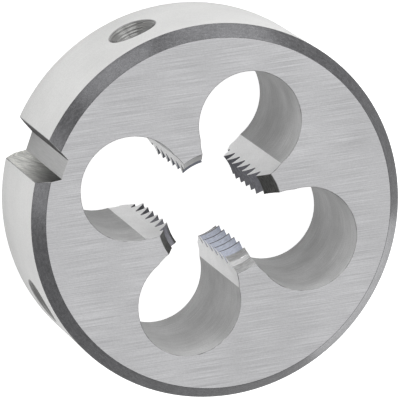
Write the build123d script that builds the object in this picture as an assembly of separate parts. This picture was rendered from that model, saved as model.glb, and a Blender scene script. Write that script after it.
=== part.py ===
from build123d import *
from math import radians, tan
import os

# Round threading die for M12 x 1.75 right-hand threads: one hardened steel disc.
#
# Frame: +Z is the thread axis, the lower ground face lies on Z = 0 and the upper one at
# Z = thickness. The split groove in the rim points to -X. All lengths are in millimetres.

# Blank: a turned disc with both faces ground and the two rim edges broken at 45 degrees.
outer_diameter = 38.0
thickness = 14.0
edge_chamfer = 1.2

# Cutting thread: ISO metric form, right-hand. The crests of the die cut the bolt's root.
thread_diameter = 12.0
thread_pitch = 1.75
thread_angle = 60.0
root_flat = 0.22            # flat at the bottom of the thread groove
crest_flat = 0.22           # flat on top of each tooth
crest_depth = 1.58          # the first tooth's depth below the upper face, at thread_start
thread_start = 15.4         # angle from +X, degrees

# Lead: the cone at each face on which the teeth begin to cut.
lead_diameter = 12.9
lead_angle = 66.0

# Chip holes: drilled through beside the bore, and open to it.
chip_holes = 4
chip_hole_diameter = 10.56
chip_hole_offset = 3.5      # from the thread's outer diameter to a hole's centre line
rake_diameter = 9.24        # the ground hook that gives each tooth its cutting face
rake_offset = 2.0           # from the thread's outer diameter to the hook's centre line

# Split groove: a V in the rim, left closed by a web that the user may grind through.
groove_web = 2.0
groove_floor = 1.95
groove_angle = 60.0
groove_position = 180.0

# Dimples: conical seats in the rim for the screws of the die stock.
dimple_diameter = 5.3
dimple_angle = 90.0
adjusting_spread = 49.0     # each side of the split groove
fixing_spread = 120.0       # each side of the split groove

# Every cutting tool runs past the surface that it leaves by this much.
run_out = 1.0

outer_radius = outer_diameter / 2
thread_radius = thread_diameter / 2
flank_slope = tan(radians(thread_angle / 2))
tooth_height = (thread_pitch - root_flat - crest_flat) / (2 * flank_slope)
crest_radius = thread_radius - tooth_height
lead_radius = lead_diameter / 2
chip_hole_radius = chip_hole_diameter / 2
chip_hole_circle = thread_radius + chip_hole_offset
rake_circle = thread_radius + rake_offset
groove_floor_radius = chip_hole_circle + chip_hole_radius + groove_web
sector = 360 / chip_holes


def blank():
    """The turned disc, with a 45 degree edge round both faces."""
    disc = Cylinder(outer_radius, thickness, align=(Align.CENTER, Align.CENTER, Align.MIN))
    rims = disc.edges().filter_by(GeomType.CIRCLE)
    return chamfer(rims, edge_chamfer)


def bore():
    """The hole at the size of the tooth crests."""
    return Pos(0, 0, -run_out) * Cylinder(
        crest_radius,
        thickness + 2 * run_out,
        align=(Align.CENTER, Align.CENTER, Align.MIN),
    )


def groove_length():
    """One length of the thread groove, swept along the helix across a single land.

    It spans from the middle of one chip hole to the middle of the next, with its own
    middle on +X and at Z = 0. Its section is the ISO trapezoid, carried a little way
    inside the crests so that it cuts clean through the bore wall.
    """
    inside = (crest_flat / 2) / (2 * flank_slope)
    inner_radius = crest_radius - inside
    inner_half = root_flat / 2 + (tooth_height + inside) * flank_slope
    outer_half = root_flat / 2
    rise = thread_pitch / chip_holes
    section = Polyline(
        (inner_radius, 0, -inner_half),
        (thread_radius, 0, -outer_half),
        (thread_radius, 0, outer_half),
        (inner_radius, 0, inner_half),
        close=True,
    )
    path = Helix(thread_pitch, rise, thread_radius)
    length = sweep(Face(Wire(section.edges())), path=path, is_frenet=True)
    return Rot(0, 0, -sector / 2) * Pos(0, 0, -rise / 2) * length


def thread_grooves():
    """Every length of the groove, land by land, from below the lower face to above the upper."""
    length = groove_length()
    lengths = []
    for land in range(chip_holes):
        angle = groove_position + (land + 0.5) * sector
        climb = thread_pitch * (angle - thread_start) / 360
        top = thickness - crest_depth - thread_pitch / 2 + climb
        first = -int((top + thread_pitch) / thread_pitch)
        last = int((thickness + thread_pitch - top) / thread_pitch)
        for turn in range(first, last + 1):
            lengths.append(Rot(0, 0, angle) * Pos(0, 0, top + turn * thread_pitch) * length)
    return lengths


def lead_cones():
    """The conical lead at each face, from the entry diameter down to the tooth crests."""
    depth = lead_radius / tan(radians(lead_angle / 2))
    above = run_out * tan(radians(lead_angle / 2))
    lower = Pos(0, 0, -run_out) * Cone(
        lead_radius + above,
        0,
        depth + run_out,
        align=(Align.CENTER, Align.CENTER, Align.MIN),
    )
    upper = Pos(0, 0, thickness) * Rot(180, 0, 0) * lower
    return lower, upper


def chip_hole(angle):
    """One chip hole and the hook ground in its throat, open to the bore."""
    length = thickness + 2 * run_out
    upright = (Align.CENTER, Align.CENTER, Align.MIN)
    drilled = Pos(chip_hole_circle, 0, -run_out) * Cylinder(chip_hole_radius, length, align=upright)
    hook = Pos(rake_circle, 0, -run_out) * Cylinder(rake_diameter / 2, length, align=upright)
    return Rot(0, 0, angle) * (drilled + hook)


def split_groove():
    """The V-groove in the rim: a flat floor and two flanks, through the full thickness."""
    mouth_radius = outer_radius + run_out
    floor_half = groove_floor / 2
    mouth_half = floor_half + (mouth_radius - groove_floor_radius) * tan(radians(groove_angle / 2))
    outline = Polyline(
        (groove_floor_radius, -floor_half),
        (mouth_radius, -mouth_half),
        (mouth_radius, mouth_half),
        (groove_floor_radius, floor_half),
        close=True,
    )
    wedge = extrude(make_face(outline), thickness + 2 * run_out)
    return Rot(0, 0, groove_position) * Pos(0, 0, -run_out) * wedge


def dimple(angle):
    """One conical seat in the rim, half way up, its point towards the axis."""
    slope = tan(radians(dimple_angle / 2))
    half = dimple_diameter / 2
    depth = half / slope
    drill = Cone(
        0,
        half + run_out * slope,
        depth + run_out,
        align=(Align.CENTER, Align.CENTER, Align.MIN),
    )
    return Rot(0, 0, angle) * Pos(outer_radius - depth, 0, thickness / 2) * Rot(0, 90, 0) * drill


def die():
    """The finished die: everything is cut from the one blank."""
    body = blank() - bore()
    for cone in lead_cones():
        body -= cone
    for number in range(chip_holes):
        body -= chip_hole(groove_position + number * sector)
    body -= thread_grooves()
    body -= split_groove()
    for spread in (adjusting_spread, fixing_spread):
        body -= dimple(groove_position - spread)
        body -= dimple(groove_position + spread)
    return body


die_body = die()
os.makedirs("parts", exist_ok=True)
export_step(die_body, "parts/die_body.step")
print("solids", len(die_body.solids()), "volume", round(die_body.volume, 1), "mm3")
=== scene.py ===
# %% [markdown]
# # A round threading die, dressed for the studio
#
# The die is one disc of hardened steel that cuts a screw thread on a rod. The CAD model gives
# its true size and shape. This lesson rebuilds the same surface with numpy, finely enough to
# carry rounded edges, drill marks and crisp teeth, and then gives each worked surface the
# finish that its own tool leaves: grinding, turning, drilling, milling or none. Some colours
# also carry painted shade or painted light, which is said where each is made.

# %% Load the imported model
import bmesh
import bpy
import numpy as np
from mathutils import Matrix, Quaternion, Vector
from mathutils.geometry import tessellate_polygon


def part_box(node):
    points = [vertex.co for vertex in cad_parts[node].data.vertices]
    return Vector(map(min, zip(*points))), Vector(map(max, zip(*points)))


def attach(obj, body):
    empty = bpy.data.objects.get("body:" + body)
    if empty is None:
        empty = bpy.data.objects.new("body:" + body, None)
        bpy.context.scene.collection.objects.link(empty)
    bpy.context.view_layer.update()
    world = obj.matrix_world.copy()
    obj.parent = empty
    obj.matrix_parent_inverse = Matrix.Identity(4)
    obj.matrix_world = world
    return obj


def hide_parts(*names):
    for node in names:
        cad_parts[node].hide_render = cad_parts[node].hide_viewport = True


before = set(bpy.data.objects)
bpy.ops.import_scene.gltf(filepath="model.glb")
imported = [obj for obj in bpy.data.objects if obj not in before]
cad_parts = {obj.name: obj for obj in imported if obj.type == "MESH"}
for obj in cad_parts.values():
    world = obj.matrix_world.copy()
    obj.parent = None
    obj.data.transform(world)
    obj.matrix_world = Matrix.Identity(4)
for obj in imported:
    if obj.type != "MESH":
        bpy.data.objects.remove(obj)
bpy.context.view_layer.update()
low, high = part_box("die_body")
print("CAD box, metres:", [tuple(round(c, 6) for c in corner) for corner in (low, high)])

# %% [markdown]
# ## Sizes
#
# The blank's radius and thickness are read from the frame. The rest are the drawing sizes of
# the die in millimetres, and every surface below is worked out from them. Angles are in
# degrees, anticlockwise from +X as seen from above. The screw seats' angles are counted from
# the split groove.

# %% Sizes of the die
mm = 0.001
outer_radius = high.y / mm
thickness = high.z / mm
edge_chamfer = 1.2
edge_round = 0.08
edge_break = 0.05

thread_radius = 6.0
thread_pitch = 1.75
thread_flat = 0.22
thread_start = 15.4
crest_depth = 1.58
flank_slope = np.tan(np.radians(30.0))
tooth_height = (thread_pitch - 2 * thread_flat) / (2 * flank_slope)
crest_radius = thread_radius - tooth_height

lead_radius = 6.45
lead_slope = np.tan(np.radians(33.0))

sectors = 4
sector = 360.0 / sectors
drill_radius, drill_place = 5.28, 9.5
hook_radius, hook_place = 4.62, 8.0

groove_angle = 180.0
groove_web = 2.0
groove_floor_place = drill_place + drill_radius + groove_web
groove_floor_half = 0.975
groove_slope = np.tan(np.radians(30.0))

seat_radius = 2.65
seat_turns = (49.0, 120.0, 240.0, 311.0)
print("blank radius", round(outer_radius, 3), "mm, thickness", round(thickness, 3), "mm")
print("crest radius", round(crest_radius, 3), "mm")

# %% [markdown]
# ## Grids
#
# Every surface here is a grid: a whole array of points with rows and columns. A patch keeps
# its points, a second pair of coordinates that follows the tool marks, its faces and the name
# of its finish. All patches are joined into one closed mesh at the end.

# %% Patches
patches = []


def grid_quads(rows, columns):
    """Corner numbers of the quads between neighbouring rows and columns, row by row."""
    number = np.arange(rows * columns).reshape(rows, columns)
    corners = (number[:-1, :-1], number[:-1, 1:], number[1:, 1:], number[1:, :-1])
    return np.stack(corners, axis=-1)


def add_patch(points, marks, faces, finish):
    """Keeps one patch: points (n, 3) in millimetres, marks (n, 2), faces (m, 3 or 4)."""
    faces = np.asarray(faces)
    names = np.full(len(faces), finish) if isinstance(finish, str) else np.asarray(finish)
    patches.append((np.asarray(points), np.asarray(marks), faces, names))
    print("patch", names[0], len(points), "points", len(faces), "faces")


def polar(radius, angle, height):
    """Points (radius cos angle, radius sin angle, height), angle in degrees."""
    turn = np.radians(angle)
    radius, turn, height = np.broadcast_arrays(radius, turn, height)
    return np.stack((radius * np.cos(turn), radius * np.sin(turn), height), axis=-1)


def turned(x, y, z, angle):
    """Points (x, y, z) turned about the die's axis by an angle in degrees."""
    turn = np.radians(angle)
    x, y, z = np.broadcast_arrays(x, y, z)
    return np.stack(
        (x * np.cos(turn) - y * np.sin(turn), x * np.sin(turn) + y * np.cos(turn), z), axis=-1
    )


# %% [markdown]
# ## The cutting teeth
#
# The teeth are what makes it a die. In section the thread is a row of 60 degree teeth with
# narrow flats, and it climbs one pitch per turn. At each face a cone opens it up, so that the
# rod can enter and the first teeth cut a little each. The land's surface is simply the larger
# of the three radii: thread, upper cone and lower cone.


# %% Radius of a land
def lead_cone(height):
    """Radius of the nearer face's cone: entry radius - slope * distance from the face."""
    return lead_radius - lead_slope * np.minimum(height, thickness - height)


def land_radius(angle, height):
    """The larger of two radii: the nearer lead cone, and the thread.

    The thread is crest + (|distance to the nearest crest| - flat / 2) / slope, kept between
    the crest's radius and the root's.
    """
    crest_height = thickness - crest_depth + thread_pitch * (angle - thread_start) / 360.0
    from_crest = (height - crest_height + thread_pitch / 2) % thread_pitch - thread_pitch / 2
    depth = (np.abs(from_crest) - thread_flat / 2) / flank_slope
    thread = crest_radius + np.clip(depth, 0.0, tooth_height)
    return np.maximum(thread, lead_cone(height))


# %% [markdown]
# ## Rows that follow the helix
#
# The grid's rows are spaced at a whole fraction of the pitch, so each tooth's corners fall on
# rows and stay sharp. They are counted down and up from a crest near the upper face, over more
# pitches than the die is thick, and those outside the die are dropped. Across a land the rows
# climb with the thread, which keeps the crests free of steps, and they level out over a short
# distance next to the two flat faces.

# %% Row heights
rows_per_pitch = 32
pitches_below, pitches_above = 9, 2
levelling_distance = 0.6

row_step = thread_pitch / rows_per_pitch
least_gap = row_step / 3
first_crest = thickness - crest_depth + thread_pitch * (sector / 2 - thread_start) / 360.0
count = np.arange(-pitches_below * rows_per_pitch, pitches_above * rows_per_pitch)
heights = first_crest + row_step * count
inside = (heights > edge_break + least_gap) & (heights < thickness - edge_break - least_gap)
heights = np.concatenate(([edge_break], heights[inside], [thickness - edge_break]))
from_face = np.minimum(heights, thickness - heights) - edge_break
climb = np.clip(from_face / levelling_distance, 0.0, 1.0)
print("rows", len(heights))

# %% [markdown]
# ## Chip holes
#
# Each chip hole is a drilled hole beside the bore, and a second, smaller circle hooks in
# behind the teeth to give them a cutting edge. Where the hook circle reaches a given distance
# from the axis follows from the triangle of the two centres, so the edge of each tooth is
# exact at every height. The corner where hook and drilled wall meet follows from the two
# circles in the same way.


# %% The hook's edge
land_columns, hook_columns, drill_columns = 12, 4, 40
edge_rounds = 6


def hook_point(radius):
    """Where the hook circle is this far from the axis: (along, beside) the chip hole's line."""
    along = (radius**2 + hook_place**2 - hook_radius**2) / (2 * hook_place)
    return along, np.sqrt(radius**2 - along**2)


def land_edge(land_angle, side):
    """Angle from the land's middle, height and radius of its edge at every row.

    The three depend on each other, so they are settled by going round a few times.
    """
    radius = np.full(len(heights), thread_radius)
    for _ in range(edge_rounds):
        along, beside = hook_point(radius)
        turn = side * (sector / 2 - np.degrees(np.arctan2(beside, along)))
        height = heights + climb * thread_pitch * turn / 360.0
        radius = land_radius(land_angle + turn, height)
    return turn, height, radius


corner_along = (
    drill_place**2 - drill_radius**2 - hook_place**2 + hook_radius**2
) / (2 * (drill_place - hook_place))
corner_beside = np.sqrt(hook_radius**2 - (corner_along - hook_place) ** 2)
corner_turn = np.arctan2(corner_beside, corner_along - hook_place)
drill_turn = np.arctan2(corner_beside, corner_along - drill_place)
print("hook meets the drilled wall at", round(corner_along, 3), round(corner_beside, 3), "mm")


def hook_wall(hole_angle, side):
    """Grid from the drilled wall's corner to the land's edge, round the hook's circle."""
    turn, height, radius = land_edge(hole_angle + side * sector / 2, -side)
    along, beside = hook_point(radius)
    edge_turn = np.arctan2(beside, along - hook_place)
    share = np.linspace(0.0, 1.0, hook_columns + 1)
    around = corner_turn + (edge_turn[:, None] - corner_turn) * share
    x = hook_place + hook_radius * np.cos(around)
    y = side * hook_radius * np.sin(around)
    z = heights[:, None] + (height - heights)[:, None] * share
    return turned(x, y, z, hole_angle)


def drilled_wall(hole_angle):
    """Grid round the drilled circle's far side, from one hook corner to the other."""
    around = np.linspace(-drill_turn, drill_turn, drill_columns + 1)[None, :]
    x = drill_place + drill_radius * np.cos(around)
    y = drill_radius * np.sin(around)
    return turned(x, y, heights[:, None], hole_angle)


def land(land_angle):
    """Grid across one land, climbing with the thread between its two edges."""
    first, last = land_edge(land_angle, -1)[0], land_edge(land_angle, 1)[0]
    share = np.linspace(0.0, 1.0, land_columns + 1)
    turn = first[:, None] + (last - first)[:, None] * share
    height = heights[:, None] + climb[:, None] * thread_pitch * turn / 360.0
    radius = land_radius(land_angle + turn, height)
    return polar(radius, land_angle + turn, height)


# %% [markdown]
# ## The inner skin
#
# Hook, drilled wall, hook and land, four times round, make one closed clover. Each part shares
# its last column with the next one's first. The marks' coordinates are the way round and the
# height, both in millimetres. A tiny 45 degree break joins the walls to the flat faces, as a
# stone leaves it.
#
# On every land the first teeth are cut down by the cone. A land takes three finishes for this:
# one for the flanks of whole teeth, one for those of cut teeth, and one for the cone. The steel
# is the same on all four lands, but two lands opposite each other are painted darker (painted
# shade) and the other two lighter (painted light), so there are two such sets. The flat crests
# look alike on all four lands.


# %% Build the inner skin
def way_round(points):
    """Distance along the rows, averaged over the height: the running sum of the steps."""
    steps = np.linalg.norm(np.diff(points[..., :2], axis=1), axis=-1).mean(axis=0)
    return np.concatenate(([0.0], np.cumsum(steps)))


def skin_patch(points, finish):
    """Adds a wall that faces the void: its rows rise, its columns run leftwards seen from there."""
    rows, columns = points.shape[:2]
    round_mm = np.broadcast_to(way_round(points), (rows, columns))
    marks = np.stack((round_mm, points[..., 2]), axis=-1)
    quads = grid_quads(rows, columns)[..., ::-1].reshape(-1, 4)
    add_patch(points.reshape(-1, 3), marks.reshape(-1, 2), quads, finish)


def into_material(loop, amount, left):
    """A closed loop of points moved sideways: left of its travel, or right of it."""
    ahead = np.roll(loop, -1, axis=0) - loop
    ahead /= np.linalg.norm(ahead, axis=1, keepdims=True)
    tangent = ahead + np.roll(ahead, 1, axis=0)
    tangent /= np.linalg.norm(tangent, axis=1, keepdims=True)
    side = np.stack((-tangent[:, 1], tangent[:, 0]), axis=1)
    return loop + (amount if left else -amount) * side


def land_finish(points, whole, cut, cone):
    """The finish of each quad of a land, told by the radius of its middle.

    On the cone's radius it is cone. On the crest's it is crest. The rest is flank, of a cut
    tooth where the cone is wider than the crest, and of a whole one elsewhere.
    """
    middles = (points[:-1, :-1] + points[1:, 1:]) / 2
    radius = np.hypot(middles[..., 0], middles[..., 1])
    cone_radius = lead_cone(middles[..., 2])
    flank = np.where(cone_radius > crest_radius, cut, whole)
    flank = np.where(radius < crest_radius + edge_break / 2, "crest", flank)
    return np.where(radius < cone_radius + edge_break / 4, cone, flank).reshape(-1)


# Painted shade and painted light: the first set colours two lands darker, the second the other two
# lighter.
shaded_land_looks = {"whole": "teeth", "cut": "teeth", "cone": "lead"}
lit_land_looks = {"whole": "fresh_teeth", "cut": "cut_tooth", "cone": "fresh_lead"}

inner_rows = []
for number in range(sectors):
    hole_angle = groove_angle + number * sector
    # Odd-numbered lands take the lighter set, painted light; the others take the darker one,
    # painted shade.
    looks = lit_land_looks if number % 2 else shaded_land_looks
    land_points = land(hole_angle + sector / 2)
    walls = (
        (hook_wall(hole_angle, -1)[:, ::-1], "hook"),
        (drilled_wall(hole_angle), "drilled"),
        (hook_wall(hole_angle, 1), "hook"),
        (land_points, land_finish(land_points, **looks)),
    )
    for points, finish in walls:
        skin_patch(points, finish)
        inner_rows.append(points[:, :-1])
inner_skin = np.concatenate(inner_rows, axis=1)
inner_lower = into_material(inner_skin[0, :, :2], edge_break, left=False)
inner_upper = into_material(inner_skin[-1, :, :2], edge_break, left=False)
print("clover outline", inner_skin.shape[1], "points")


def break_patch(wall_loop, face_loop, wall_height, face_height, finish, flip):
    """The narrow strip between a wall's last row and the flat face beside it."""
    wall = np.column_stack((wall_loop, np.full(len(wall_loop), wall_height)))
    face = np.column_stack((face_loop, np.full(len(face_loop), face_height)))
    points = np.stack((wall, face))
    points = np.concatenate((points, points[:, :1]), axis=1)
    quads = grid_quads(2, points.shape[1])
    quads = quads[..., ::-1] if flip else quads
    add_patch(points.reshape(-1, 3), points[..., :2].reshape(-1, 2), quads.reshape(-1, 4), finish)


break_patch(inner_skin[0, :, :2], inner_lower, heights[0], 0.0, "edge", flip=False)
break_patch(inner_skin[-1, :, :2], inner_upper, heights[-1], thickness, "edge", flip=True)

# %% [markdown]
# ## The outer skin
#
# The rim is a profile carried round the axis. From below it is the flat face's edge, a 45 degree
# chamfer, the rim, a chamfer and the upper face's edge, with a hair of a radius at each corner.
# The columns start at one side of the split groove, run all the way round to its other side,
# and then dip in and out along the groove's flanks and floor, so that chamfers, rim and groove
# are one grid. Where a screw seat is to come, rows and columns are set closer, and a square
# window of them is left open for it. It reaches window_half_height millimetres up and down, and
# window_half_angle degrees to either side.


# %% Profile of the rim
def rounded(before, corner, after, radius, steps=4):
    """A corner replaced by an arc: the points of a circle that touches both sides."""
    before, corner, after = (np.array(p, float) for p in (before, corner, after))
    first = (before - corner) / np.linalg.norm(before - corner)
    second = (after - corner) / np.linalg.norm(after - corner)
    half = np.arccos(first @ second) / 2
    centre = corner + (first + second) / np.linalg.norm(first + second) * radius / np.sin(half)
    start, end = corner + first * radius / np.tan(half), corner + second * radius / np.tan(half)
    share = np.linspace(0.0, 1.0, steps + 1)[:, None]
    arc = start + (end - start) * share - centre
    return centre + arc / np.linalg.norm(arc, axis=1, keepdims=True) * radius


chamfer_steps, rim_steps = 5, 6
window_half_angle = 9.0
window_rows = 16
window_half_height = 3.0
middle = thickness / 2
face_radius = outer_radius - edge_chamfer
rim_end = (outer_radius, middle - window_half_height)
face_corner, rim_corner = (face_radius, 0), (outer_radius, edge_chamfer)
lower_face_edge = rounded((0, 0), face_corner, rim_corner, edge_round)
lower_rim_edge = rounded(face_corner, rim_corner, (outer_radius, middle), edge_round)
chamfer_rows = np.linspace(lower_face_edge[-1], lower_rim_edge[0], chamfer_steps + 1)[1:-1]
rim_rows = np.linspace(lower_rim_edge[-1], rim_end, rim_steps + 1)[1:-1]
lower_half = np.concatenate((lower_face_edge, chamfer_rows, lower_rim_edge, rim_rows))
upper_half = np.column_stack((lower_half[::-1, 0], thickness - lower_half[::-1, 1]))
window_span = (middle - window_half_height, middle + window_half_height)
window_levels = np.linspace(*window_span, window_rows + 1)
window_part = np.column_stack((np.full(window_rows + 1, outer_radius), window_levels))
profile = np.concatenate((lower_half, window_part, upper_half))
window_first_row = len(lower_half)
print("rim profile", len(profile), "rows")

# %% [markdown]
# The groove's flank is a straight line in plan. Where it comes out of a circle of a given
# radius follows from a quadratic, and that point ends the rim's columns at each height. The
# groove's mouth is narrower at the flat faces than at the rim, so a few columns ramp from that
# slanting edge to upright ones.


# %% Columns of the rim and the groove
def groove_mouth(radius):
    """(along, beside) where the flank line meets a circle round the axis."""
    base = groove_floor_half - groove_slope * groove_floor_place
    a, b, c = 1 + groove_slope**2, 2 * groove_slope * base, base**2 - radius**2
    along = (-b + np.sqrt(b**2 - 4 * a * c)) / (2 * a)
    return along, base + groove_slope * along


rim_first, rim_last = 10.0, 350.0
first_columns, ramp_columns, flank_columns, floor_columns = 15, 3, 8, 6
rim_column_width = 1.9

rim_turns = [np.linspace(rim_first, seat_turns[0] - window_half_angle, first_columns + 1)[:-1]]
window_columns = []
window_ends = [turn - window_half_angle for turn in seat_turns[1:]] + [rim_last]
for turn, following in zip(seat_turns, window_ends):
    first, last = turn - window_half_angle, turn + window_half_angle
    window_columns.append(sum(len(part) for part in rim_turns))
    rim_turns.append(np.linspace(first, last, window_rows + 1)[:-1])
    columns = int((following - turn - window_half_angle) / rim_column_width)
    rim_turns.append(np.linspace(last, following, columns + 1)[:-1])
rim_turns = np.concatenate(rim_turns + [[rim_last]])

along, beside = groove_mouth(profile[:, 0])
mouth_turn = np.degrees(np.arctan2(beside, along))
break_turn = np.degrees(edge_break / profile[:, 0])
starting = mouth_turn + break_turn
ramp = np.linspace(0.0, 1.0, ramp_columns + 1)[:-1]
leading = starting[:, None] + (rim_turns[0] - starting)[:, None] * ramp
trailing = 360.0 - leading[:, ::-1]
turns = np.hstack((leading, np.broadcast_to(rim_turns, (len(profile), len(rim_turns))), trailing))
rim_points = polar(profile[:, :1], groove_angle + turns, profile[:, 1:])
window_columns = [column + leading.shape[1] for column in window_columns]

flank_share = np.linspace(0.0, 1.0, flank_columns + 1)
flank_length = np.hypot(along - groove_floor_place, beside - groove_floor_half)
reach = (1 - edge_break / flank_length)[:, None] * flank_share
flank_along = groove_floor_place + (along - groove_floor_place)[:, None] * reach
flank_beside = groove_floor_half + (beside - groove_floor_half)[:, None] * reach
flank_height = np.broadcast_to(profile[:, 1:], flank_along.shape)
flank_after = turned(flank_along, flank_beside, flank_height, groove_angle)
flank_before = turned(flank_along, -flank_beside, flank_height, groove_angle)[:, ::-1]
floor_across = np.linspace(-groove_floor_half, groove_floor_half, floor_columns + 1)
groove_floor = turned(groove_floor_place, floor_across[None, :], profile[:, 1:], groove_angle)
print("rim columns", turns.shape[1])

# %% [markdown]
# Anticlockwise from the groove's near side, the outer skin is rim, flank, floor and flank
# again. It is one closed grid. Next to the two flat faces the groove's edges are broken too:
# there its rows step into the steel by as much as they are short of the break's depth.

# %% Build the outer skin
outer_skin = np.concatenate(
    (rim_points, flank_before, groove_floor[:, 1:-1], flank_after), axis=1
)
rim_count = rim_points.shape[1]
for row, height in enumerate(profile[:, 1]):
    short = edge_break - min(height, thickness - height)
    if short > 0:
        moved = into_material(outer_skin[row, :, :2], short, left=True)
        outer_skin[row, rim_count:, :2] = moved[rim_count:]

column_finish = np.array(
    ["rim"] * (rim_count - 1) + ["edge"] + ["upper_flank"] * flank_columns
    + ["floor"] * floor_columns + ["lower_flank"] * flank_columns + ["edge"]
)
radius = (profile[:-1, 0] + profile[1:, 0]) / 2
row_finish = np.where(radius > outer_radius - edge_break / 10, "rim", "chamfer")
quad_finish = np.where(column_finish == "rim", row_finish[:, None], column_finish)

keep = np.ones(quad_finish.shape, bool)
for column in window_columns:
    keep[window_first_row:window_first_row + window_rows, column:column + window_rows] = False
closed_skin = np.concatenate((outer_skin, outer_skin[:, :1]), axis=1)
round_mm = np.broadcast_to(way_round(closed_skin), closed_skin.shape[:2])
marks = np.stack((round_mm, closed_skin[..., 2]), axis=-1)
quads = grid_quads(*closed_skin.shape[:2])
add_patch(closed_skin.reshape(-1, 3), marks.reshape(-1, 2), quads[keep], quad_finish[keep])

# %% [markdown]
# ## Screw seats
#
# Each seat is a 90 degree cone drilled into the rim. The rim leaves a square window there, and
# the seat fills it with rings: from the window's border to the mouth, where cone and rim meet,
# and on down to the point. The mouth isn't quite round, because the rim is curved, so its
# distance from the seat's axis comes from a quadratic in each direction. The drill leaves fine
# turned rings on the cone.

# %% Build the screw seats
ring_pitch, ring_height = 0.27, 0.010
outside_rings, cone_rings = 3, 48


def seat(column):
    """Adds rings round a seat's axis: the rim's cylinder outside the mouth, the cone inside.

    Their distance from the die's axis is the root of R^2 - y^2 on the cylinder. On the cone it
    grows evenly with the distance from the seat's axis, plus a fine sine wave.
    """
    rows = slice(window_first_row, window_first_row + window_rows + 1)
    window = outer_skin[rows, column:column + window_rows + 1]
    border = np.concatenate((window[0, :-1], window[:-1, -1], window[-1, :0:-1], window[:0:-1, 0]))
    centre = window[window_rows // 2, window_rows // 2]
    seat_angle = np.degrees(np.arctan2(centre[1], centre[0]))
    local = turned(*border.T, -seat_angle)
    border_y, border_z = local[:, 1], local[:, 2] - middle
    around = np.arctan2(border_z, border_y)
    cone_base = outer_radius - seat_radius
    a, b, c = 1 + np.cos(around) ** 2, 2 * cone_base, cone_base**2 - outer_radius**2
    mouth = (-b + np.sqrt(b**2 - 4 * a * c)) / (2 * a)
    lip = mouth + edge_break
    border_reach = np.hypot(border_y, border_z)
    outward_share = np.linspace(0.0, 1.0, outside_rings + 1)[:, None]
    outside = border_reach + (lip - border_reach) * outward_share
    within = (mouth - edge_break) * np.linspace(1.0, 0.0, cone_rings + 1)[:, None]
    ring = np.concatenate((outside, within))
    y, z = ring * np.cos(around), ring * np.sin(around)
    on_rim = np.sqrt(outer_radius**2 - y**2)
    wave = ring_height * np.sin(2 * np.pi * ring / ring_pitch) * np.clip(ring / ring_pitch, 0, 1)
    in_cone = cone_base + ring + wave * (ring < mouth - 2 * edge_break)
    outwards = np.where(np.arange(len(ring))[:, None] < len(outside), on_rim, in_cone)
    points = turned(outwards, y, z + middle, seat_angle)
    points = np.concatenate((points, points[:, :1]), axis=1)
    turn = np.linspace(0.0, 1.0, points.shape[1])
    reach = np.concatenate((ring, ring[:, :1]), axis=1)
    marks = np.stack((np.broadcast_to(turn, reach.shape), reach), axis=-1)
    quads = grid_quads(*points.shape[:2])
    finish = np.full(quads.shape[:2], "seat")
    finish[: len(outside) - 1] = "rim"
    finish[len(outside) - 1] = "edge"
    add_patch(points.reshape(-1, 3), marks.reshape(-1, 2), quads.reshape(-1, 4), finish.reshape(-1))


for column in window_columns:
    seat(column)

# %% [markdown]
# ## The two flat faces
#
# A flat face is the area between the rim's outline and the clover's. Blender's polygon filler
# divides it into triangles between the two loops of points.


# %% Build the flat faces
def flat_face(outer_loop, inner_loop, height, upwards):
    """Triangles between two closed loops at one height."""
    loops = [[Vector((*point, height)) for point in loop] for loop in (outer_loop, inner_loop)]
    triangles = np.array(tessellate_polygon(loops))
    points = np.concatenate((outer_loop, inner_loop))
    first, second, third = (points[triangles[:, corner]] for corner in range(3))
    ahead, across = second - first, third - first
    upward = ahead[:, 0] * across[:, 1] - ahead[:, 1] * across[:, 0] > 0
    triangles[upward != upwards] = triangles[upward != upwards][:, ::-1]
    points = np.column_stack((points, np.full(len(points), height)))
    add_patch(points, points[:, :2], triangles, "face")


flat_face(outer_skin[-1, :, :2], inner_upper, thickness, upwards=True)
flat_face(outer_skin[0, :, :2], inner_lower, 0.0, upwards=False)

# %% [markdown]
# ## Finishes
#
# Steel takes its look from the last tool that touched it. Each finish below is a metal whose
# colour, roughness and height follow one noise texture, squeezed into streaks as long and as
# wide as that tool's marks. An image texture laid on the steel would give such streaks too, but
# noise has no seams and no size limit. The streaks read the marks' coordinates made above, and
# the round blotches read the die's own, so both stay on the steel whatever the camera does.
# A few colours also carry painted shade or painted light; each is named where it is made.

# %% A metal with tool marks
noise_low, noise_high = 0.3, 0.7


def noise(tree, vector, scale, detail=3.0):
    """A noise texture, and the range where most of its values lie stretched to 0 to 1."""
    texture = tree.nodes.new("ShaderNodeTexNoise")
    texture.inputs["Scale"].default_value = scale
    texture.inputs["Detail"].default_value = detail
    tree.links.new(vector, texture.inputs["Vector"])
    spread = tree.nodes.new("ShaderNodeMapRange")
    spread.inputs["From Min"].default_value = noise_low
    spread.inputs["From Max"].default_value = noise_high
    tree.links.new(texture.outputs["Fac"], spread.inputs["Value"])
    return texture.outputs["Fac"], spread.outputs["Result"]


def shaded(tree, colour, factor, low_end, high_end, reach=1.0):
    """A colour times a number that runs from low_end to high_end as factor goes 0 to reach."""
    shade = tree.nodes.new("ShaderNodeMapRange")
    shade.inputs["From Max"].default_value = reach
    shade.inputs["To Min"].default_value = low_end
    shade.inputs["To Max"].default_value = high_end
    tree.links.new(factor, shade.inputs["Value"])
    product = tree.nodes.new("ShaderNodeVectorMath")
    product.operation = "SCALE"
    tree.links.new(colour, product.inputs["Vector"])
    tree.links.new(shade.outputs["Result"], product.inputs["Scale"])
    return product.outputs["Vector"]


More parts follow.
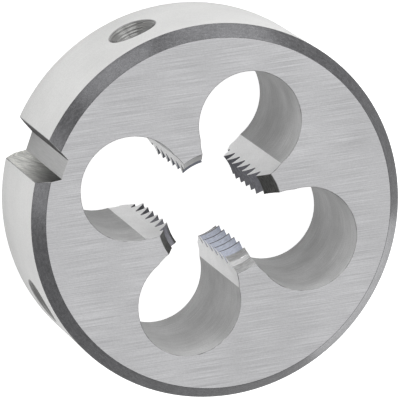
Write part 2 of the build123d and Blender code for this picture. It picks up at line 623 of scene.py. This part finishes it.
def steel(
    name, dark, light, roughness, marks,
    bump=0.0, turn=0.0, grains=(), darkening=None, metallic=1.0,
):
    """A metal whose colour and roughness follow streaks.

    dark and light are the two colours that the streaks run between, and roughness has the
    values that go with them. marks is a streak's size in millimetres along the two
    coordinates of the marks, turn is its direction in degrees, and bump is its depth in
    millimetres.
    grains are (size, strength) of round blotches. The argument after grains is (place, reach,
    share of the colour left at the place): the colour grows darker towards that place.
    """
    material = bpy.data.materials.new(name)
    material.use_nodes = True
    tree = material.node_tree
    shader = tree.nodes["Principled BSDF"]
    shader.inputs["Metallic"].default_value = metallic
    source = tree.nodes.new("ShaderNodeTexCoord")
    mapping = tree.nodes.new("ShaderNodeMapping")
    mapping.vector_type = "TEXTURE"
    mapping.inputs["Rotation"].default_value = (0.0, 0.0, np.radians(turn))
    mapping.inputs["Scale"].default_value = (*marks, 1.0)
    tree.links.new(source.outputs["UV"], mapping.inputs["Vector"])
    height, streaks = noise(tree, mapping.outputs["Vector"], 1.0, detail=4.0)
    mix = tree.nodes.new("ShaderNodeMix")
    mix.data_type = "RGBA"
    mix.inputs["A"].default_value = (*dark, 1.0)
    mix.inputs["B"].default_value = (*light, 1.0)
    tree.links.new(streaks, mix.inputs["Factor"])
    colour = mix.outputs["Result"]
    for size, strength in grains:
        blotches = noise(tree, source.outputs["Object"], 1 / (size * mm))[1]
        colour = shaded(tree, colour, blotches, 1 - strength, 1 + strength)
    if darkening:
        place, reach, left = darkening
        apart = tree.nodes.new("ShaderNodeVectorMath")
        apart.operation = "DISTANCE"
        apart.inputs[1].default_value = np.array(place) * mm
        tree.links.new(source.outputs["Object"], apart.inputs[0])
        colour = shaded(tree, colour, apart.outputs["Value"], left, 1.0, reach * mm)
    tree.links.new(colour, shader.inputs["Base Color"])
    gloss = tree.nodes.new("ShaderNodeMapRange")
    gloss.inputs["To Min"].default_value = roughness[0]
    gloss.inputs["To Max"].default_value = roughness[1]
    tree.links.new(streaks, gloss.inputs["Value"])
    tree.links.new(gloss.outputs["Result"], shader.inputs["Roughness"])
    if bump > 0:
        relief = tree.nodes.new("ShaderNodeBump")
        relief.inputs["Strength"].default_value = 1.0
        relief.inputs["Distance"].default_value = bump * mm
        tree.links.new(height, relief.inputs["Height"])
        tree.links.new(relief.outputs["Normal"], shader.inputs["Normal"])
    return material


def grey(value, blue=0.0):
    """A nearly neutral colour: blue is the share added to its blue part."""
    return (value, value, value * (1 + blue))


finishes = {}

# %% [markdown]
# The flat faces are ground: long fine scratches, all one way, on bright steel. The chamfers are
# turned before hardening and never ground again. They are coloured nearly black for the dark
# surroundings that they reflect: painted shade.
# The rim is turned bright, with lines that run round it. The small breaks between them are
# stoned by hand, so their marks run no one way.

# %% Flat faces, breaks, chamfers and rim
finishes["face"] = steel(
    "ground_face", dark=grey(0.48, 0.02), light=grey(0.675, 0.02), roughness=(0.46, 0.56),
    marks=(5.5, 0.08), bump=0.002, turn=24.0, grains=((8.0, 0.05), (0.12, 0.06)),
)
finishes["edge"] = steel(
    "stoned_edge", dark=grey(0.10), light=grey(0.45), roughness=(0.35, 0.45), marks=(0.9, 0.9),
)
# Painted shade: the chamfer's near-black colour stands in for the dark surroundings it reflects.
finishes["chamfer"] = steel(
    "chamfer_painted_shade", dark=grey(0.10, 0.04), light=grey(0.137, 0.04), roughness=(0.22, 0.30),
    marks=(0.5, 0.2), bump=0.001, grains=((1.5, 0.08), (0.12, 0.2)),
)
finishes["rim"] = steel(
    "turned_rim", dark=grey(0.61, -0.01), light=grey(0.70, -0.01), roughness=(0.32, 0.42),
    marks=(6.0, 0.09), bump=0.001, grains=((6.0, 0.05), (0.15, 0.06)),
)

# %% [markdown]
# A milling cutter leaves short lines across the groove's flanks, leaning one way on one flank
# and the other way on the other. The flanks are called upper and lower as the camera below
# shows them. They are the same steel, but the upper flank, which faces away from the light, is
# coloured nearly black: painted shade. The floor between them is smoother. The lower flank
# grows darker towards one corner: its colour is scaled by the distance from that corner.

# %% Split groove
# The lower flank grows darker towards this corner; its colour is scaled by the distance.
darkened_corner = (-groove_floor_place, -groove_floor_half, thickness)
# Painted shade: the upper flank is coloured nearly black because it faces away from the light.
finishes["upper_flank"] = steel(
    "milled_upper_flank_painted_shade", dark=grey(0.035), light=grey(0.10), roughness=(0.75, 0.85),
    marks=(0.22, 2.5), bump=0.004, turn=-12.0, metallic=0.5,
)
finishes["lower_flank"] = steel(
    "milled_lower_flank", dark=grey(0.36, -0.04), light=grey(0.90, -0.04), roughness=(0.35, 0.5),
    marks=(0.22, 2.5), bump=0.006, turn=12.0, grains=((0.15, 0.15),),
    darkening=(darkened_corner, 9.0, 0.10),
)
finishes["floor"] = steel(
    "milled_floor", dark=grey(0.34), light=grey(0.45), roughness=(0.3, 0.4),
    marks=(0.12, 2.5), bump=0.002, grains=((0.12, 0.06),),
)

# %% [markdown]
# A drill leaves rings round a hole's wall. Scale from hardening dulls the wall, so more than
# half of its light is spread as paint spreads it: that is what a Metallic value of 0.4 means.
# The cones for the screws are coloured dark for the shade in their recess, painted shade, with
# lighter streaks along the drill's rings.

# %% Holes and seats
# Painted shade: the seat's dark colour stands in for the shade inside the drilled cone.
finishes["seat"] = steel(
    "drilled_seat_painted_shade", dark=grey(0.05, -0.02), light=grey(0.30, -0.02), roughness=(0.20, 0.28),
    marks=(0.5, 0.12), bump=0.004,
)
finishes["drilled"] = steel(
    "drilled_wall", dark=grey(0.43), light=grey(0.59), roughness=(0.4, 0.5),
    marks=(4.0, 0.14), bump=0.002, grains=((4.0, 0.16), (0.12, 0.10)), metallic=0.4,
)

# %% [markdown]
# The hooks are the brightest steel on the die, because their grinding makes the cutting edges.
# The flanks of the teeth have a trace of blue, as tempered steel has. The teeth are the same steel
# on all four lands, but two lands are painted darker (painted shade) and two lighter (painted
# light), each kind with its own flank and cone. On the lighter ones the teeth that the cone has
# cut down are a neutral grey.

# %% Cutting teeth
finishes["hook"] = steel(
    "ground_hook", dark=grey(0.88), light=grey(0.95), roughness=(0.35, 0.45),
    marks=(0.1, 3.0), bump=0.002, grains=((2.5, 0.05), (0.12, 0.04)),
)
# Painted shade: the darker tooth flanks of two lands.
finishes["teeth"] = steel(
    "hardened_teeth_painted_shade", dark=grey(0.12, 0.10), light=grey(0.20, 0.10), roughness=(0.3, 0.4),
    marks=(0.35, 0.08), bump=0.001,
)
# Painted light: the lighter tooth flanks of the other two lands.
finishes["fresh_teeth"] = steel(
    "fresh_teeth", dark=(0.165, 0.175, 0.205), light=(0.265, 0.28, 0.325), roughness=(0.3, 0.4),
    marks=(0.35, 0.08), bump=0.001,
)
# Painted light: the cut teeth of the lighter lands.
finishes["cut_tooth"] = steel(
    "cut_tooth", dark=grey(0.22), light=grey(0.34), roughness=(0.3, 0.4),
    marks=(0.6, 0.1), bump=0.001,
)
finishes["crest"] = steel(
    "tooth_crest", dark=grey(0.05), light=grey(0.10), roughness=(0.4, 0.5), marks=(0.35, 0.08),
)
# Painted shade: the darker cone of two lands.
finishes["lead"] = steel(
    "ground_lead_painted_shade", dark=grey(0.09, -0.03), light=grey(0.23, -0.03), roughness=(0.3, 0.4),
    marks=(0.6, 0.1), bump=0.001,
)
# Painted light: the lighter cone of the other two lands.
finishes["fresh_lead"] = steel(
    "fresh_lead", dark=grey(0.53), light=grey(0.78), roughness=(0.3, 0.4),
    marks=(0.6, 0.1), bump=0.001,
)
print("finishes", len(finishes))

# %% [markdown]
# ## One closed body
#
# All patches go into one mesh. Points that two patches share are merged, so the body is
# closed, and edges that turn by more than sharp_from degrees stay crisp.

# %% Join the patches
sharp_from = 12.0
merge_within = 2e-4
names = sorted(finishes)
offsets = np.cumsum([0] + [len(patch[0]) for patch in patches])
points = np.concatenate([patch[0] for patch in patches]) * mm
marks = np.concatenate([patch[1] for patch in patches])
faces, slots = [], []
for offset, (_, _, patch_faces, patch_names) in zip(offsets, patches):
    faces += (patch_faces + offset).tolist()
    slots.append(np.searchsorted(names, patch_names))
mesh = bpy.data.meshes.new("die")
mesh.from_pydata(points, [], faces)
mark_map = mesh.uv_layers.new(name="tool_marks")
corner_points = np.zeros(len(mesh.loops), np.int32)
mesh.loops.foreach_get("vertex_index", corner_points)
mark_map.data.foreach_set("uv", marks[corner_points].astype(np.float32).reshape(-1))
mesh.polygons.foreach_set("material_index", np.concatenate(slots).astype(np.int32))
for name in names:
    mesh.materials.append(finishes[name])

work = bmesh.new()
work.from_mesh(mesh)
bmesh.ops.remove_doubles(work, verts=work.verts, dist=merge_within * mm)
open_edges = sum(1 for edge in work.edges if not edge.is_manifold)
volume = work.calc_volume(signed=True) / mm**3
work.to_mesh(mesh)
work.free()
mesh.shade_smooth()
mesh.set_sharp_from_angle(angle=np.radians(sharp_from))
die = bpy.data.objects.new("threading_die", mesh)
bpy.context.scene.collection.objects.link(die)
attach(die, "root")
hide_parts("die_body")
mesh.calc_loop_triangles()
print("die:", len(mesh.loop_triangles), "triangles,", open_edges, "open edges")
print("volume", round(volume, 1), "mm3")

# %% [markdown]
# ## Studio
#
# The floor is white paper. It keeps the die's shadow, and what the lens and the steel see of
# it is lifted to white by a glow that lights nothing else: the Light Path node tells a ray that
# comes from the lens or from a shiny surface apart from one that carries light. Under the die
# the glow for the steel is stronger, because the paper there is in shade and the walls of the
# holes show little else.

# %% Floor
paper_white, paper_roughness = 0.8, 0.9
glow_to_lens, glow_to_steel, glow_to_bore = 0.85, 0.20, 0.40
glow_to_bore_within = 0.7 * outer_radius


def paper():
    """A diffuse white that also glows, but only to the camera and in reflections."""
    material = bpy.data.materials.new("white_paper")
    material.use_nodes = True
    nodes, links = material.node_tree.nodes, material.node_tree.links
    shader = nodes["Principled BSDF"]
    shader.inputs["Base Color"].default_value = (paper_white, paper_white, paper_white, 1.0)
    shader.inputs["Roughness"].default_value = paper_roughness
    shader.inputs["Emission Color"].default_value = (1.0, 1.0, 1.0, 1.0)
    source = nodes.new("ShaderNodeTexCoord")
    apart = nodes.new("ShaderNodeVectorMath")
    apart.operation = "LENGTH"
    links.new(source.outputs["Object"], apart.inputs[0])
    under_die = nodes.new("ShaderNodeMapRange")
    under_die.inputs["From Min"].default_value = glow_to_bore_within * mm
    under_die.inputs["From Max"].default_value = outer_radius * mm
    under_die.inputs["To Min"].default_value = glow_to_bore
    under_die.inputs["To Max"].default_value = glow_to_steel
    links.new(apart.outputs["Value"], under_die.inputs["Value"])
    rays = nodes.new("ShaderNodeLightPath")
    to_steel = nodes.new("ShaderNodeMath")
    to_steel.operation = "MULTIPLY"
    links.new(under_die.outputs["Result"], to_steel.inputs[0])
    links.new(rays.outputs["Is Glossy Ray"], to_steel.inputs[1])
    glow = nodes.new("ShaderNodeMath")
    glow.operation = "MULTIPLY_ADD"
    glow.inputs[1].default_value = glow_to_lens
    links.new(rays.outputs["Is Camera Ray"], glow.inputs[0])
    links.new(to_steel.outputs["Value"], glow.inputs[2])
    links.new(glow.outputs["Value"], shader.inputs["Emission Strength"])
    return material


floor_half = 1.5
floor_mesh = bpy.data.meshes.new("floor")
corners = np.array([(-1, -1, 0), (1, -1, 0), (1, 1, 0), (-1, 1, 0)], float) * floor_half
floor_mesh.from_pydata(corners, [], [(0, 1, 2, 3)])
floor_mesh.materials.append(paper())
floor = bpy.data.objects.new("floor", floor_mesh)
bpy.context.scene.collection.objects.link(floor)

# %% [markdown]
# The lens is long and the camera is half a metre away, so the two ends of the die are nearly
# the same size. The camera is turned about its own line of sight, which makes a die that lies
# flat look as if it stood on its rim.

# %% Camera
camera_place = Vector((-0.164211, 0.060306, 0.462869))
camera_aim = Vector((0.00005, -0.00012, 0.007))
camera_roll = 127.48
camera_lens, sensor_width = 438.588, 36.0

camera_data = bpy.data.cameras.new("camera")
camera_data.lens = camera_lens
camera_data.sensor_width = sensor_width
camera = bpy.data.objects.new("camera", camera_data)
sight = (camera_aim - camera_place).to_track_quat("-Z", "Y")
roll = Quaternion((0.0, 0.0, 1.0), np.radians(camera_roll))
camera.matrix_world = (sight @ roll).to_matrix().to_4x4()
camera.location = camera_place
bpy.context.scene.collection.objects.link(camera)
bpy.context.scene.camera = camera

# %% [markdown]
# A plain white surround gives most of the light. The panels are what polished steel needs
# besides: something bright to show. One stands above and three stand low round the near side,
# where the chamfer shows each in turn, and a wide one lights the far side from higher up. The
# card is a small one right beside the die, which lifts the side of the chamfer that would
# otherwise show only the floor.


# %% Lights
def panel(name, azimuth, elevation, distance, width, height, power):
    """A soft rectangular light that faces the die: azimuth is from +X, elevation from the floor."""
    data = bpy.data.lights.new(name, "AREA")
    data.shape = "RECTANGLE"
    data.size = width
    data.size_y = height
    data.energy = power
    light = bpy.data.objects.new(name, data)
    turn, rise = np.radians((azimuth, elevation))
    flat = distance * np.cos(rise)
    place = Vector((flat * np.cos(turn), flat * np.sin(turn), distance * np.sin(rise)))
    light.matrix_world = (-place).to_track_quat("-Z", "Y").to_matrix().to_4x4()
    light.location = place
    bpy.context.scene.collection.objects.link(light)


# name, azimuth and elevation in degrees, distance, width and height in metres, watts
panels = (
    ("panel_above", 122, 48, 0.8, 0.45, 0.36, 1.10),
    ("panel_front", 138, 20, 0.8, 0.50, 0.17, 0.48),
    ("panel_right", 92, 14, 0.8, 0.6, 0.30, 0.75),
    ("panel_left", 192, 18, 0.8, 0.5, 0.30, 0.50),
    ("panel_high", 60, 30, 0.8, 1.0, 0.6, 1.50),
    ("card", 346, 6, 0.050, 0.036, 0.012, 0.0026),
)
for row in panels:
    panel(*row)
print("lights", [row[0] for row in panels])

surround_strength = 0.80
world = bpy.data.worlds.new("surround")
world.use_nodes = True
bpy.context.scene.world = world
background = world.node_tree.nodes["Background"]
background.inputs["Color"].default_value = (1.0, 1.0, 1.0, 1.0)
background.inputs["Strength"].default_value = surround_strength
bpy.context.scene.view_settings.view_transform = "Standard"
